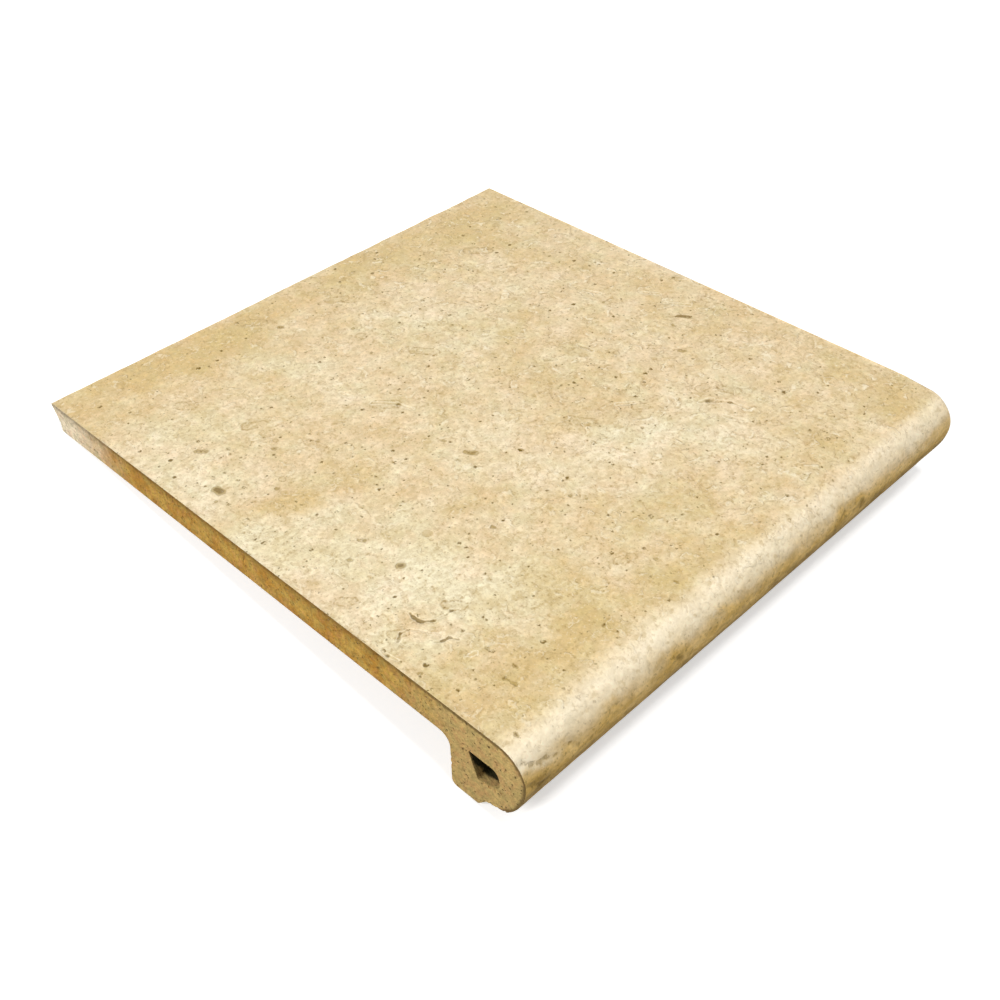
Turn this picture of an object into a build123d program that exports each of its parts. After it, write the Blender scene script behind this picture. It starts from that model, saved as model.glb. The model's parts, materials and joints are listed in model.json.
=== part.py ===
from build123d import *
from math import asin, atan2, degrees, hypot
import os

# Stair tread tile: one extruded and fired piece, a flat slab with a deep rounded nose along its front edge.
# Its section is the same along its whole length. It is drawn in the YZ plane with the tread face on Z = 0 and
# the back edge at Y = 0, so that the nose points towards -Y, and it is then tilted to the way it lies unheld.
# Lengths are in millimetres. A run is measured from the back edge forwards, a drop from the tread face down.

# The tread
nose_length = 315.0
tread_depth = 332.0
back_thickness = 15.8
root_thickness = 18.4

# The back edge, undercut so that the glazed arris closes the joint to the next tile
back_undercut = 5.5
undercut_drop = 10.0
back_arris_radius = 0.8

# The nose: its front is a bullnose arc above and a slower arc below, which ends at the toe
nose_depth = 47.2
nose_width = 42.0
bullnose_radius = 15.0
toe_setback = 11.0
toe_drop = 38.6
toe_radius = 2.0

# Behind the toe the underside of the nose steps down to the land, which ends in the heel
land_width = 15.4
step_run = 4.6
step_height = 5.4
step_radius = 1.2
land_radius = 0.8
heel_radius = 3.0
root_radius = 6.0

# The core hole, which runs through the nose from end to end
core_top_wall = 17.0
core_back_wall = 10.6
core_front_wall = 13.2
core_height = 14.4
core_foot_lead = 5.2
core_front_height = 9.6
core_front_radius = 4.6
core_shoulder_radius = 4.0
core_back_radius = 0.8
core_foot_radius = 1.6


def point(run, drop):
    """A point of the section, by its run from the back edge and its drop below the tread face."""
    return Vector(-run, -drop)


def rounded(face, corners):
    """The face with each named corner rounded to its radius."""
    for corner, radius in corners:
        face = fillet(face.vertices().sort_by_distance(corner)[0], radius)
    return face


# Outline of the section, from the bullnose round to the back edge
inner_run = tread_depth - nose_width
land_run = inner_run + land_width
bullnose_start = point(tread_depth - bullnose_radius, 0)
nose_front = point(tread_depth, bullnose_radius)
toe = point(tread_depth - toe_setback, toe_drop)
step_top = point(land_run + step_run, nose_depth - step_height)
land_front = point(land_run, nose_depth)
heel = point(inner_run, nose_depth)
root = point(inner_run, root_thickness)
back_foot = point(back_undercut, back_thickness)
undercut_foot = point(back_undercut, undercut_drop)
back_arris = point(0, 0)

bullnose = TangentArc(bullnose_start, nose_front, tangent=(-1, 0))
lower_front = TangentArc(nose_front, toe, tangent=(0, -1))
underside = Polyline(
    toe, step_top, land_front, heel, root, back_foot, undercut_foot, back_arris, bullnose_start
)
outline = make_face(bullnose + lower_front + underside)
outline = rounded(
    outline,
    [
        (toe, toe_radius),
        (step_top, step_radius),
        (land_front, land_radius),
        (heel, heel_radius),
        (root, root_radius),
        (back_arris, back_arris_radius),
    ],
)

# Outline of the core hole: its back corner, front shoulder, front foot and foot
core_back_run = inner_run + core_back_wall
core_front_run = tread_depth - core_front_wall
core_back = point(core_back_run, core_top_wall)
core_shoulder = point(core_front_run - core_shoulder_radius / 2, core_top_wall)
core_front = point(core_front_run, core_top_wall + core_front_height)
core_foot = point(core_back_run + core_foot_lead, core_top_wall + core_height)
core = make_face(Polyline(core_back, core_shoulder, core_front, core_foot, close=True))
core = rounded(
    core,
    [
        (core_back, core_back_radius),
        (core_shoulder, core_shoulder_radius),
        (core_front, core_front_radius),
        (core_foot, core_foot_radius),
    ],
)

# The tile, drawn with its tread face level
section = outline - core
tread_tile = extrude(Plane.YZ * section, amount=nose_length / 2, both=True)

# Unheld it lies on its back foot and on the round of its heel, so it is tilted by the slope of the line that
# runs from the one to the other and touches both
heel_centre = point(inner_run + heel_radius, nose_depth - heel_radius)
reach = back_foot - heel_centre
rest_tilt = atan2(reach.Y, reach.X) + asin(heel_radius / hypot(reach.X, reach.Y))
tread_tile = Rot(X=-degrees(rest_tilt)) * tread_tile

# The origin is under the middle of the tile, on the floor
bounds = tread_tile.bounding_box()
tread_tile = Pos(0, -bounds.center().Y, -bounds.min.Z) * tread_tile
bounds = tread_tile.bounding_box()

os.makedirs("parts", exist_ok=True)
export_step(tread_tile, "parts/tread_tile.step")
print("rest tilt", round(degrees(rest_tilt), 3), "degrees")
print("size", bounds.size, "lowest point", round(bounds.min.Z, 6))
print("volume", round(tread_tile.volume), "cubic millimetres")
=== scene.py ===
# %% [markdown]
# # A glazed stair tread tile
# On the real object a flat tile and the deep rounded nose of a step are one extruded and fired
# piece. Its top and the front of its nose carry a cream glaze that imitates a worn stone, and
# everything else is bare ochre clay. The lesson rebuilds that piece round a CAD model that is
# already right in size. The CAD model is loaded first, because every length and place below is
# taken in its frame, in metres. Python's noise in Blender starts from the clock unless it is given
# a seed, so it gets one, and each run makes the same tile.

# %% Load the CAD model as the frame
import json
from math import atan2, degrees, hypot, pi, radians, tan

import bmesh
import bpy
from mathutils import Matrix, Quaternion, Vector
from mathutils.geometry import intersect_point_line
from mathutils.kdtree import KDTree
from mathutils.noise import noise_vector, seed_set


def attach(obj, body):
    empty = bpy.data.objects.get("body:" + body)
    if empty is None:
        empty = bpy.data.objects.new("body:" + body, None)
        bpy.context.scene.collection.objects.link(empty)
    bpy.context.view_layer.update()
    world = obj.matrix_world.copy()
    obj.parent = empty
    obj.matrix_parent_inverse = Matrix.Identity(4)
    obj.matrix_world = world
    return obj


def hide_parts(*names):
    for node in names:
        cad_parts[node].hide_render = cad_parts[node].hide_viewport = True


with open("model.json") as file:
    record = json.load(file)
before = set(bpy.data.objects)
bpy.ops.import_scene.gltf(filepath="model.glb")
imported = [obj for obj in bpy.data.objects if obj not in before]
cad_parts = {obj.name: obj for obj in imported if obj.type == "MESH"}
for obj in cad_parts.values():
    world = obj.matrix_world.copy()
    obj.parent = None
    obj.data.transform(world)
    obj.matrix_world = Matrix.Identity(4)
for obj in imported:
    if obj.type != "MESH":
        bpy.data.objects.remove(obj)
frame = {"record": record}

noise_seed = 7
seed_set(noise_seed)
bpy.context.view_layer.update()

# %% [markdown]
# ## The tile's own frame
# The tile lies with its nose a little higher than its back edge, because nothing fills the space
# behind the nose. It is much easier to draw it level, so a place on it is given as it would be read
# off a drawing: x along the nose from the middle, the run from the back edge forwards, and the drop
# below the tread, all in millimetres. The record names the tread face with its normal and one point
# on it, 160 mm forward of the back edge, and those two give the way to the floor.

# %% From the drawing to the floor
MM = 0.001
mounts = {mount["name"]: mount for mount in frame["record"]["mounts"]}
tread_mount = mounts["tread_face"]
tread_normal = Vector(tread_mount["axis"])
rest_tilt = atan2(tread_normal.y, tread_normal.z)
mount_run = 160
tile_turn = Matrix.Rotation(-rest_tilt, 4, "X")
tile_shift = Vector(tread_mount["pos_m"]) - tile_turn @ Vector((0, -mount_run * MM, 0))
tile_to_floor = Matrix.Translation(tile_shift) @ tile_turn


def drawn(x, run, drop):
    """The place in metres, in the drawing's level frame, of a point given in millimetres."""
    return Vector((x, -run, -drop)) * MM


print("rest tilt:", round(degrees(rest_tilt), 3), "degrees")

# %% [markdown]
# ## The camera
# The photograph looks down across the near end of the tile and along its nose. The long edges in it
# meet at two vanishing points, and those give the lens and the view. The camera is placed in the
# tile's frame, aimed at the point of the tread in the middle of the picture, and rolled by the few
# degrees that the picture leans.

# %% Place the camera
camera_spot = tile_to_floor @ drawn(-378.83, 541.98, -392.55)
camera_aim = tile_to_floor @ drawn(-55.30, 218.72, 0)
camera_lens = 47.31
camera_roll = radians(5.225)
bpy.ops.object.camera_add(location=camera_spot)
camera = bpy.context.object
camera.name = "photo_camera"
camera.data.lens = camera_lens
camera.rotation_mode = "QUATERNION"
camera_turn = (camera_aim - camera_spot).to_track_quat("-Z", "Y")
camera.rotation_quaternion = camera_turn @ Quaternion((0, 0, 1), camera_roll)
bpy.context.scene.camera = camera
bpy.context.scene.view_settings.view_transform = "Standard"
print("camera to tread:", round((camera_aim - camera_spot).length, 3), "m")

# %% [markdown]
# ## Shader sums written as sums
# A finish is worked out from many small numbers, such as how far a point lies from a pit. In
# Blender each step of such a sum is a node. A small class wraps a node's output, so that an
# ordinary sum in Python adds its Math nodes by itself, and one method adds every other kind of node
# with its settings and inputs.

# %% A wire between shader nodes


class Wire:
    """One output of a shader node. Arithmetic on it adds Math nodes to the tree in hand."""

    tree = None

    def __init__(self, socket):
        self.socket = socket

    @classmethod
    def node(cls, kind, settings, inputs, output=0):
        """Adds a node of that kind: its settings first, then the values or links of its inputs."""
        made = cls.tree.nodes.new("ShaderNode" + kind)
        for name, value in settings.items():
            setattr(made, name, value)
        for name, value in inputs.items():
            if isinstance(value, cls):
                cls.tree.links.new(value.socket, made.inputs[name])
            else:
                made.inputs[name].default_value = value
        return cls(made.outputs[output]) if made.outputs else None

    @classmethod
    def sum(cls, operation, first, second=0.0):
        return cls.node("Math", {"operation": operation}, {0: first, 1: second})

    def __add__(self, other):
        return Wire.sum("ADD", self, other)

    def __sub__(self, other):
        return Wire.sum("SUBTRACT", self, other)

    def __rsub__(self, other):
        return Wire.sum("SUBTRACT", other, self)

    def __mul__(self, other):
        return Wire.sum("MULTIPLY", self, other)

    def __truediv__(self, other):
        return Wire.sum("DIVIDE", self, other)

    def __abs__(self):
        return Wire.sum("ABSOLUTE", self)

    __radd__ = __add__
    __rmul__ = __mul__


print("operators on a wire: + - * / and abs")

# %% [markdown]
# ## Plain studio light
# The photograph was taken under soft studio light. A key lamp above the tile, a little in front of
# it, throws the thin shadow at the toe. A larger lamp from the right lays a sheen along the
# shoulder of the nose, which a painted highlight in the glaze makes paler, and one from the left and
# behind lights the bare end and the floor under the slab. One area light or the sky alone could
# light it too, but then the shadow or the sheen would be lost. Each lamp is given the share of full
# white that it lays on a level white card, so that the shares and the sky's share come to about one,
# and each colour renders about as it is written.

# %% Add the lamps


def soft_lamp(name, x, run, height, distance, size, share):
    """A square lamp aimed at the tile, from a distance along (x, run, height) of the tile's frame."""
    towards = (tile_turn @ Vector((x, -run, height))).normalized()
    bpy.ops.object.light_add(type="AREA", location=towards * distance)
    lamp = bpy.context.object
    lamp.name = name
    lamp.data.size = size
    lamp.data.energy = pi**2 * distance**2 * share / towards.z
    lamp.rotation_mode = "QUATERNION"
    lamp.rotation_quaternion = towards.to_track_quat("Z", "Y")
    spot = [round(value, 2) for value in lamp.location]
    print(name, "at", spot, "with", round(lamp.data.energy, 1), "W")


lamp_distance = 5.0
soft_lamp("key_lamp", -0.04, 0.31, 0.95, lamp_distance, size=0.75, share=0.32)
soft_lamp("sheen_lamp", 0.62, 0.34, 0.7, lamp_distance, size=2.2, share=0.17)
soft_lamp("left_lamp", -0.8, -0.25, 0.52, lamp_distance, size=1.6, share=0.36)
sky_share = 0.2

# %% [markdown]
# ## White surroundings
# The photograph has a pure white ground that keeps only a thin soft shadow. More light would bleach
# the tile, so the white comes from what the camera is shown: the sky lights the scene at its share
# but looks white, and the floor adds some white of its own, for the camera alone, to the colour
# that the lamps give it. Farther from the tile the floor goes over into pure white, so that no
# horizon shows from any side.

# %% Make the sky and the floor


def seen_directly():
    """1 for camera, glossy and transmission rays, and 0 for the rays that only light the scene."""
    kinds = ("Camera", "Glossy", "Transmission")
    rays = [Wire.node("LightPath", {}, {}, f"Is {kind} Ray") for kind in kinds]
    return Wire.node("Clamp", {}, {"Value": rays[0] + rays[1] + rays[2]})


def grey(level):
    return (level, level, level, 1)


world = bpy.data.worlds.new("studio_sky")
bpy.context.scene.world = world
world.use_nodes = True
Wire.tree = world.node_tree
Wire.tree.nodes.clear()
sky_strength = sky_share + seen_directly() * (1 - sky_share)
sky = Wire.node("Background", {}, {"Color": grey(1), "Strength": sky_strength})
Wire.node("OutputWorld", {}, {"Surface": sky})

floor_size = 12
floor_paint, shown_paint = 0.6, 0.93
floor_glow = 0.48
white_from, white_at = 0.8, 2.0
bpy.ops.mesh.primitive_plane_add(size=floor_size)
floor = bpy.context.object
floor.name = "studio_floor"
floor_finish = bpy.data.materials.new("floor_white")
floor_finish.use_nodes = True
Wire.tree = floor_finish.node_tree
Wire.tree.nodes.clear()
shown = seen_directly()
tints = {0: shown, 6: grey(floor_paint), 7: grey(shown_paint)}
tint = Wire.node("Mix", {"data_type": "RGBA"}, tints, 2)
lit = Wire.node("BsdfDiffuse", {}, {"Color": tint})
glow = Wire.node("Emission", {}, {"Strength": shown * floor_glow})
near_floor = Wire.node("AddShader", {}, {0: lit, 1: glow})
floor_place = Wire.node("TexCoord", {}, {}, "Object")
distance = Wire.node("VectorMath", {"operation": "LENGTH"}, {0: floor_place}, "Value")
far_off = Wire.node("MapRange", {}, {"Value": distance, "From Min": white_from, "From Max": white_at})
far_floor = Wire.node("Emission", {}, {"Strength": 1.0})
whole_floor = Wire.node("MixShader", {}, {0: shown * far_off, 1: near_floor, 2: far_floor})
Wire.node("OutputMaterial", {}, {"Surface": whole_floor})
floor.data.materials.append(floor_finish)
print("sky", sky_share, "floor", floor_paint, "shown as", shown_paint, "+", floor_glow, "glow")

# %% [markdown]
# ## The blank
# The real section is drawn through a die, so it is the same from end to end. It could be modelled
# as an outline that is filled and extruded. Starting from a box and pulling its nose down keeps
# faces and edges in hand at each step, so that is done here: a box as thick as the tile is at the
# root of its nose, cut across underneath where the nose begins, and drawn down there twice, for the
# nose and for the land that steps down behind the toe.

# %% Pick parts of the mesh in code
nose_length, tread_depth = 315, 332
NEAR = 0.01 * MM


def pick(kind, test):
    """Selects the vertices, edges or faces that pass a test, and returns how many there are."""
    bpy.ops.mesh.select_mode(type=kind)
    bpy.ops.mesh.select_all(action="DESELECT")
    mesh = bmesh.from_edit_mesh(bpy.context.object.data)
    kinds = {"VERT": mesh.verts, "EDGE": mesh.edges, "FACE": mesh.faces}
    chosen = [part for part in kinds[kind] if test(part)]
    for part in chosen:
        part.select_set(True)
    mesh.select_flush_mode()
    bmesh.update_edit_mesh(bpy.context.object.data)
    return len(chosen)


def underneath(run_from, run_to, drop):
    """A test for the faces that look down at that drop, or lower, between two runs."""
    def test(face):
        middle = face.calc_center_median() / MM
        return face.normal.z < -0.9 and run_from < -middle.y < run_to and -middle.z > drop - 0.1
    return test


def looks_back_or_front(sign, drop):
    """A test for the faces above a drop that look backwards, for 1, or to the front, for -1."""
    return lambda face: face.normal.y * sign > 0.9 and -face.calc_center_median().z < drop * MM


print("nose", nose_length, "mm long, tread", tread_depth, "mm deep")

# %% Pull the nose out of a box
nose_run, root_drop = 290, 18.4
step_run, step_drop = 310, 41.8
land_drop = 47.2
bpy.ops.object.select_all(action="DESELECT")
bpy.ops.mesh.primitive_cube_add(
    size=1,
    location=drawn(0, tread_depth / 2, root_drop / 2),
    scale=(nose_length * MM, tread_depth * MM, root_drop * MM),
)
tile = bpy.context.object
tile.name = "glazed_tread"
bpy.ops.object.transform_apply(location=True, rotation=True, scale=True)
bpy.ops.object.mode_set(mode="EDIT")

pick("FACE", underneath(0, tread_depth, root_drop))
bpy.ops.mesh.bisect(plane_co=drawn(0, nose_run, 0), plane_no=(0, 1, 0))
pick("FACE", underneath(nose_run, tread_depth, root_drop))
bpy.ops.mesh.extrude_region_move(TRANSFORM_OT_translate={"value": drawn(0, 0, step_drop - root_drop)})
pick("FACE", underneath(nose_run, tread_depth, step_drop))
bpy.ops.mesh.bisect(plane_co=drawn(0, step_run, 0), plane_no=(0, 1, 0))
pick("FACE", underneath(nose_run, step_run, step_drop))
bpy.ops.mesh.extrude_region_move(TRANSFORM_OT_translate={"value": drawn(0, 0, land_drop - step_drop)})
print("faces after pulling:", len(bmesh.from_edit_mesh(tile.data).faces))

# %% [markdown]
# ## Corners of the section
# The die gives the section its slopes: the slab thins towards the back, its back edge is undercut
# so that the glazed arris closes the joint, and the nose leans in below towards its toe. Each slope
# is made by moving one long edge. The front face first gets an edge where the tangents of its lower
# curve cross, so that rounding that edge later gives exactly the curve from the widest point of the
# nose to the toe.

# %% Move the corners to their places
back_drop, undercut_run, undercut_drop = 15.8, 5.5, 10
land_run, toe_run, toe_drop = 305.4, 321, 38.6
bullnose_radius = 15
curve_fall = toe_drop - bullnose_radius
curve_reach = ((tread_depth - toe_run) ** 2 + curve_fall**2) / (2 * curve_fall)
curve_corner = bullnose_radius + curve_reach


def along_nose(run, drop):
    """A test for the edges that run from end to end through one corner of the section."""
    def test(edge):
        return all(hypot(end.co.y + run * MM, end.co.z + drop * MM) < NEAR for end in edge.verts)
    return test


pick("FACE", looks_back_or_front(1, root_drop))
bpy.ops.mesh.bisect(plane_co=drawn(0, 0, undercut_drop), plane_no=(0, 0, 1))
pick("FACE", lambda face: face.normal.y < -0.9)
bpy.ops.mesh.bisect(plane_co=drawn(0, 0, curve_corner), plane_no=(0, 0, 1))
for run, drop, to_run, to_drop in (
    (0, root_drop, undercut_run, back_drop),
    (0, undercut_drop, undercut_run, undercut_drop),
    (step_run, land_drop, land_run, land_drop),
    (tread_depth, step_drop, toe_run, toe_drop),
):
    found = pick("EDGE", along_nose(run, drop))
    bpy.ops.transform.translate(value=drawn(0, to_run - run, to_drop - drop))
    print(found, "long edge moved from", (run, drop), "to", (to_run, to_drop))

bpy.ops.mesh.select_all(action="SELECT")
bpy.ops.mesh.dissolve_limited(angle_limit=radians(0.5))
print("faces of the plain section:", len(bmesh.from_edit_mesh(tile.data).faces))

# %% [markdown]
# ## Rounding
# Clay that leaves a die has soft corners. The Bevel operator with a round profile makes a true arc
# when its width is the distance from the corner to where the arc begins, and that distance follows
# from the radius and from the angle by which the section turns there. The ends are cut, so their
# edges are only a little worn.

# %% Round the corners of the section


def round_corner(run, drop, radius, segments):
    """Rounds the long edge through one corner of the section to a radius in millimetres."""
    found = pick("EDGE", along_nose(run, drop))
    mesh = bmesh.from_edit_mesh(tile.data)
    turn = next(edge for edge in mesh.edges if edge.select).calc_face_angle()
    reach = radius * tan(turn / 2)
    bpy.ops.mesh.bevel(
        offset=reach * MM,
        segments=segments,
        profile=0.5,
        affect="EDGES",
        clamp_overlap=False,
    )
    corner = (run, round(drop, 2))
    print(found, "edge at", corner, "turns", round(degrees(turn), 1), "reach", round(reach, 2))


curve_turn = atan2(tread_depth - toe_run, toe_drop - curve_corner)
curve_radius = curve_reach / tan(curve_turn / 2)
for run, drop, radius, segments in (
    (tread_depth, curve_corner, curve_radius, 14),
    (tread_depth, 0, bullnose_radius, 18),
    (step_run, step_drop, 1.2, 2),
    (land_run, land_drop, 0.8, 2),
    (nose_run, land_drop, 3, 4),
    (nose_run, root_drop, 6, 5),
    (0, 0, 1.0, 3),
):
    round_corner(run, drop, radius, segments)
bpy.ops.mesh.select_all(action="SELECT")
bpy.ops.mesh.remove_doubles(threshold=NEAR)
round_corner(toe_run, toe_drop, 2, 2)

# %% Wear the cut edges of both ends
end_wear = 0.4


def round_an_end(edge):
    """The edges of the two cut ends."""
    first, second = edge.verts
    at_an_end = abs(abs(first.co.x) - nose_length / 2 * MM) < NEAR
    return abs(first.co.x - second.co.x) < NEAR and at_an_end


found = pick("EDGE", round_an_end)
bpy.ops.mesh.bevel(offset=end_wear * MM, segments=2, profile=0.5, affect="EDGES")
bpy.ops.object.mode_set(mode="OBJECT")
print(found, "edges worn, faces now:", len(tile.data.polygons))

# %% [markdown]
# ## The core hole
# A core in the die leaves a hole through the nose, so that the thick clay dries and fires evenly.
# Its corners are given one by one, because it leans with the front of the nose. A bar of that
# section is shaped from a box and taken away with a Boolean modifier, which is applied while the
# mesh is still light.

# %% Cut the core hole
core_corners = {
    (-1, 1): (300.6, 17, 0.8),
    (1, 1): (316.8, 17, 4),
    (1, -1): (318.8, 26.6, 4.6),
    (-1, -1): (305.8, 31.4, 1.6),
}
bpy.ops.object.select_all(action="DESELECT")
bpy.ops.mesh.primitive_cube_add(size=2, scale=(nose_length * MM, MM, MM))
core = bpy.context.object
bpy.ops.object.transform_apply(location=True, rotation=True, scale=True)
bpy.ops.object.mode_set(mode="EDIT")
for (front, up), (run, drop, radius) in core_corners.items():
    pick("EDGE", along_nose(front, -up))
    bpy.ops.transform.translate(value=drawn(0, run - front, drop + up))
bpy.ops.mesh.select_all(action="SELECT")
for run, drop, radius in core_corners.values():
    pick("EDGE", along_nose(run, drop))
    mesh = bmesh.from_edit_mesh(core.data)
    turn = next(edge for edge in mesh.edges if edge.select).calc_face_angle()
    bpy.ops.mesh.bevel(offset=radius * tan(turn / 2) * MM, segments=4, profile=0.5, affect="EDGES")
bpy.ops.object.mode_set(mode="OBJECT")


def take_away(tool):
    """Cuts the tool's shape out of the tile and removes the tool."""
    bpy.ops.object.select_all(action="DESELECT")
    tile.select_set(True)
    bpy.context.view_layer.objects.active = tile
    cut = tile.modifiers.new(tool.name, "BOOLEAN")
    cut.object, cut.operation, cut.solver = tool, "DIFFERENCE", "EXACT"
    bpy.ops.object.modifier_apply(modifier=cut.name)
    bpy.data.objects.remove(tool)


def in_core(run, drop):
    """Whether a place of the section lies in the core hole or on its walls."""
    return 300 < run < 319.5 and 16.5 < drop < 32


take_away(core)
print("faces with the core hole:", len(tile.data.polygons))

# %% [markdown]
# ## Glaze and clay
# The glaze was poured over the tread and runs down the front of the nose as far as the toe, and
# nowhere else. The faces are still few, so they get their finish now, and what is cut from them
# later keeps it.

# %% Give each face its finish
clay_finish = bpy.data.materials.new("bare_clay")
glaze_finish = bpy.data.materials.new("stone_glaze")
tile.data.materials.append(clay_finish)
tile.data.materials.append(glaze_finish)
bpy.ops.object.mode_set(mode="EDIT")


def is_glazed(face):
    """The tread and the front of the nose down to the toe, with their worn edges."""
    middle = face.calc_center_median() / MM
    faces_up = face.normal.z > 0.3
    faces_front = face.normal.y < -0.3 and -middle.y > step_run and -middle.z < toe_drop
    on_an_end = abs(face.normal.x) >= 0.8
    above_toe = -middle.z < toe_drop
    outside = above_toe and not on_an_end and not in_core(-middle.y, -middle.z)
    return outside and (faces_up or faces_front)


found = pick("FACE", is_glazed)
glaze_slot = 1
tile.active_material_index = glaze_slot
bpy.ops.object.material_slot_assign()
print(found, "of", len(bmesh.from_edit_mesh(tile.data).faces), "faces are glazed")

# %% [markdown]
# ## A net fine enough for relief
# The worn-stone relief needs points about a millimetre apart. Subdividing a whole ring of parallel
# edges cuts every face between them across, as many loop cuts would. The tread is cut into columns
# first, and then the outside of the tile into rows. The hole keeps its long faces, because nothing
# in it needs points.

# %% Cut the net


def rule_lines(test, first_cuts, second_cuts, shortest=200):
    """Divides the long edges that pass a test, and then once more the pieces of them."""
    long_edges = pick("EDGE", lambda edge: edge.calc_length() > shortest * MM and test(edge))
    bpy.ops.mesh.subdivide(number_cuts=first_cuts)
    piece = nose_length * MM / (first_cuts + 1)

    def is_piece(edge):
        return abs(edge.calc_length() - piece) < 0.1 * piece and test(edge)

    short_edges = pick("EDGE", is_piece)
    bpy.ops.mesh.subdivide(number_cuts=second_cuts)
    faces = len(bmesh.from_edit_mesh(tile.data).faces)
    print(long_edges, "long edges,", short_edges, "pieces, faces now:", faces)


def down_the_tread(edge):
    """The edges of the tread that run from its back to its front."""
    first, second = edge.verts
    straight = abs(first.co.x - second.co.x) < NEAR and abs(first.co.z - second.co.z) < NEAR
    return straight and first.co.z > -MM


def along_the_outside(edge):
    """The edges that run along the nose, but for those of the core hole."""
    first, second = edge.verts
    straight = abs(first.co.y - second.co.y) < NEAR and abs(first.co.z - second.co.z) < NEAR
    return straight and not in_core(-first.co.y / MM, -first.co.z / MM)


first_cuts, second_cuts = 21, 11
rule_lines(down_the_tread, first_cuts, second_cuts)
rule_lines(along_the_outside, first_cuts, second_cuts)
bpy.ops.object.mode_set(mode="OBJECT")

# %% [markdown]
# ## Knocks
# A fired tile loses crumbs at its corners, and the near end of this one has lost several: at the
# toe, at the corner of the land, in a row down the back of the nose and along the lower lip of the
# hole. Each is bitten out with a small rough stone, which is an icosphere whose points are strayed
# by noise. The far corner of the nose is only rubbed round, which a proportional move does: it
# takes the neighbours of the moved points along.

# %% Rub the far corner of the nose round
rubbed_off, rubbed_reach = 3.2, 36


def at_far_corner(point):
    """The points of the far end within a millimetre of the widest part of the nose."""
    return point.co.x > (nose_length / 2 - 1) * MM and -point.co.y > (tread_depth - 1) * MM


bpy.ops.object.mode_set(mode="EDIT")
found = pick("VERT", at_far_corner)
bpy.ops.transform.translate(
    value=drawn(-rubbed_off, 0, 0),
    use_proportional_edit=True,
    proportional_edit_falloff="SMOOTH",
    proportional_size=rubbed_reach * MM,
)
bpy.ops.object.mode_set(mode="OBJECT")
print(found, "points of the far corner moved")

# %% Bite out the crumbs
crumbs = (
    (-151.5, 321.4, 38.9, 3.4, 1.5), (-157.5, 316.6, 40.2, 1.2, 1.0),
    (-145.0, 321.0, 38.9, 2.2, 0.8), (-157.7, 306.2, 47.6, 1.5, 1.3),
    (-157.6, 290.2, 30.6, 0.6, 1.1), (-157.6, 290.1, 34.5, 0.7, 1.4),
    (-157.7, 290.3, 38.4, 0.5, 0.8), (-157.7, 288.6, 15.9, 0.8, 0.9),
    (-157.8, 308.9, 30.9, 0.9, 0.9), (-157.7, 312.2, 30.2, 1.3, 1.0),
    (-157.8, 315.6, 29.2, 1.0, 1.1), (-157.7, 318.6, 28.0, 0.8, 0.9),
    (-157.8, 303.6, 19.0, 0.7, 0.7), (-157.6, 312.6, 41.3, 1.4, 1.1),
    (-157.8, 320.4, 38.8, 1.2, 1.2), (-157.8, 323.4, 36.6, 0.9, 0.9),
    (-157.8, 300.6, 47.4, 1.6, 0.7), (-157.7, 294.0, 46.0, 1.0, 1.0),
)
crumb_grain, crumb_roughness = 1.3, 0.3
stones = []
for number, (x, run, drop, reach, width) in enumerate(crumbs):
    bpy.ops.mesh.primitive_ico_sphere_add(subdivisions=2, radius=MM)
    stones.append(bpy.context.object)
    for point in stones[-1].data.vertices:
        stray = noise_vector(point.co / MM * crumb_grain + Vector((number * 7.0, 0, 0)))
        stretched = Vector((point.co.x * reach, point.co.y * width, point.co.z * width))
        point.co = stretched + stray * crumb_roughness * width * MM + drawn(x, run, drop)
for stone in stones:
    stone.select_set(True)
bpy.ops.object.join()
take_away(bpy.context.object)
bpy.ops.object.mode_set(mode="EDIT")
bpy.ops.mesh.select_all(action="SELECT")
bpy.ops.mesh.dissolve_degenerate(threshold=NEAR)
bpy.ops.object.mode_set(mode="OBJECT")
print(len(crumbs), "crumbs bitten out, faces now:", len(tile.data.polygons))

# %% [markdown]
# ## From the picture to the tread
# Stains, pits and ripples belong where the photograph shows them. A small helper sends the camera's
# ray through a place in the picture and gives the point where it meets the tread, so each mark
# below is written as it is read off the picture, while its width stays in millimetres.

# %% Find a place of the picture on the tread
picture_size = 1000
turn_back = tile_turn.transposed()
tile_drift = turn_back @ tile_shift / MM


def seen_at(across, down):
    """The point of the tile, in millimetres in the level frame, seen at a place in the picture."""
    half = camera.data.sensor_width / 2 / camera.data.lens
    ray = Vector(((across * 2 / picture_size - 1) * half, (1 - down * 2 / picture_size) * half, -1))
    ray = turn_back @ (camera.rotation_quaternion @ ray)
    spot = turn_back @ camera_spot - tile_drift * MM
    hit, place, _, _ = tile.ray_cast(spot, ray)
    return (place if hit else spot - ray * (spot.z / ray.z)) / MM


print("middle of the picture lies at x, -run:", [round(value, 1) for value in seen_at(500, 500)])

# %% [markdown]
# ## A finer net where the stone is riven
# One place of the tread is riven into small steps, finer than the net can show. A finer net all
# over would be four times as heavy, so only the faces round that place are divided once more, found
# by where the photograph shows it.

# %% Divide the flaked place once more
bpy.ops.object.mode_set(mode="EDIT")
flake_middle, flake_reach = seen_at(418, 633), 24


def is_riven(face):
    return (face.calc_center_median() / MM - flake_middle).length < flake_reach


found = pick("FACE", is_riven)
bpy.ops.mesh.subdivide(number_cuts=1)
bpy.ops.object.mode_set(mode="OBJECT")
triangles = sum(len(face.vertices) - 2 for face in tile.data.polygons)
print(found, "faces divided, triangles now:", triangles)

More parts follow.
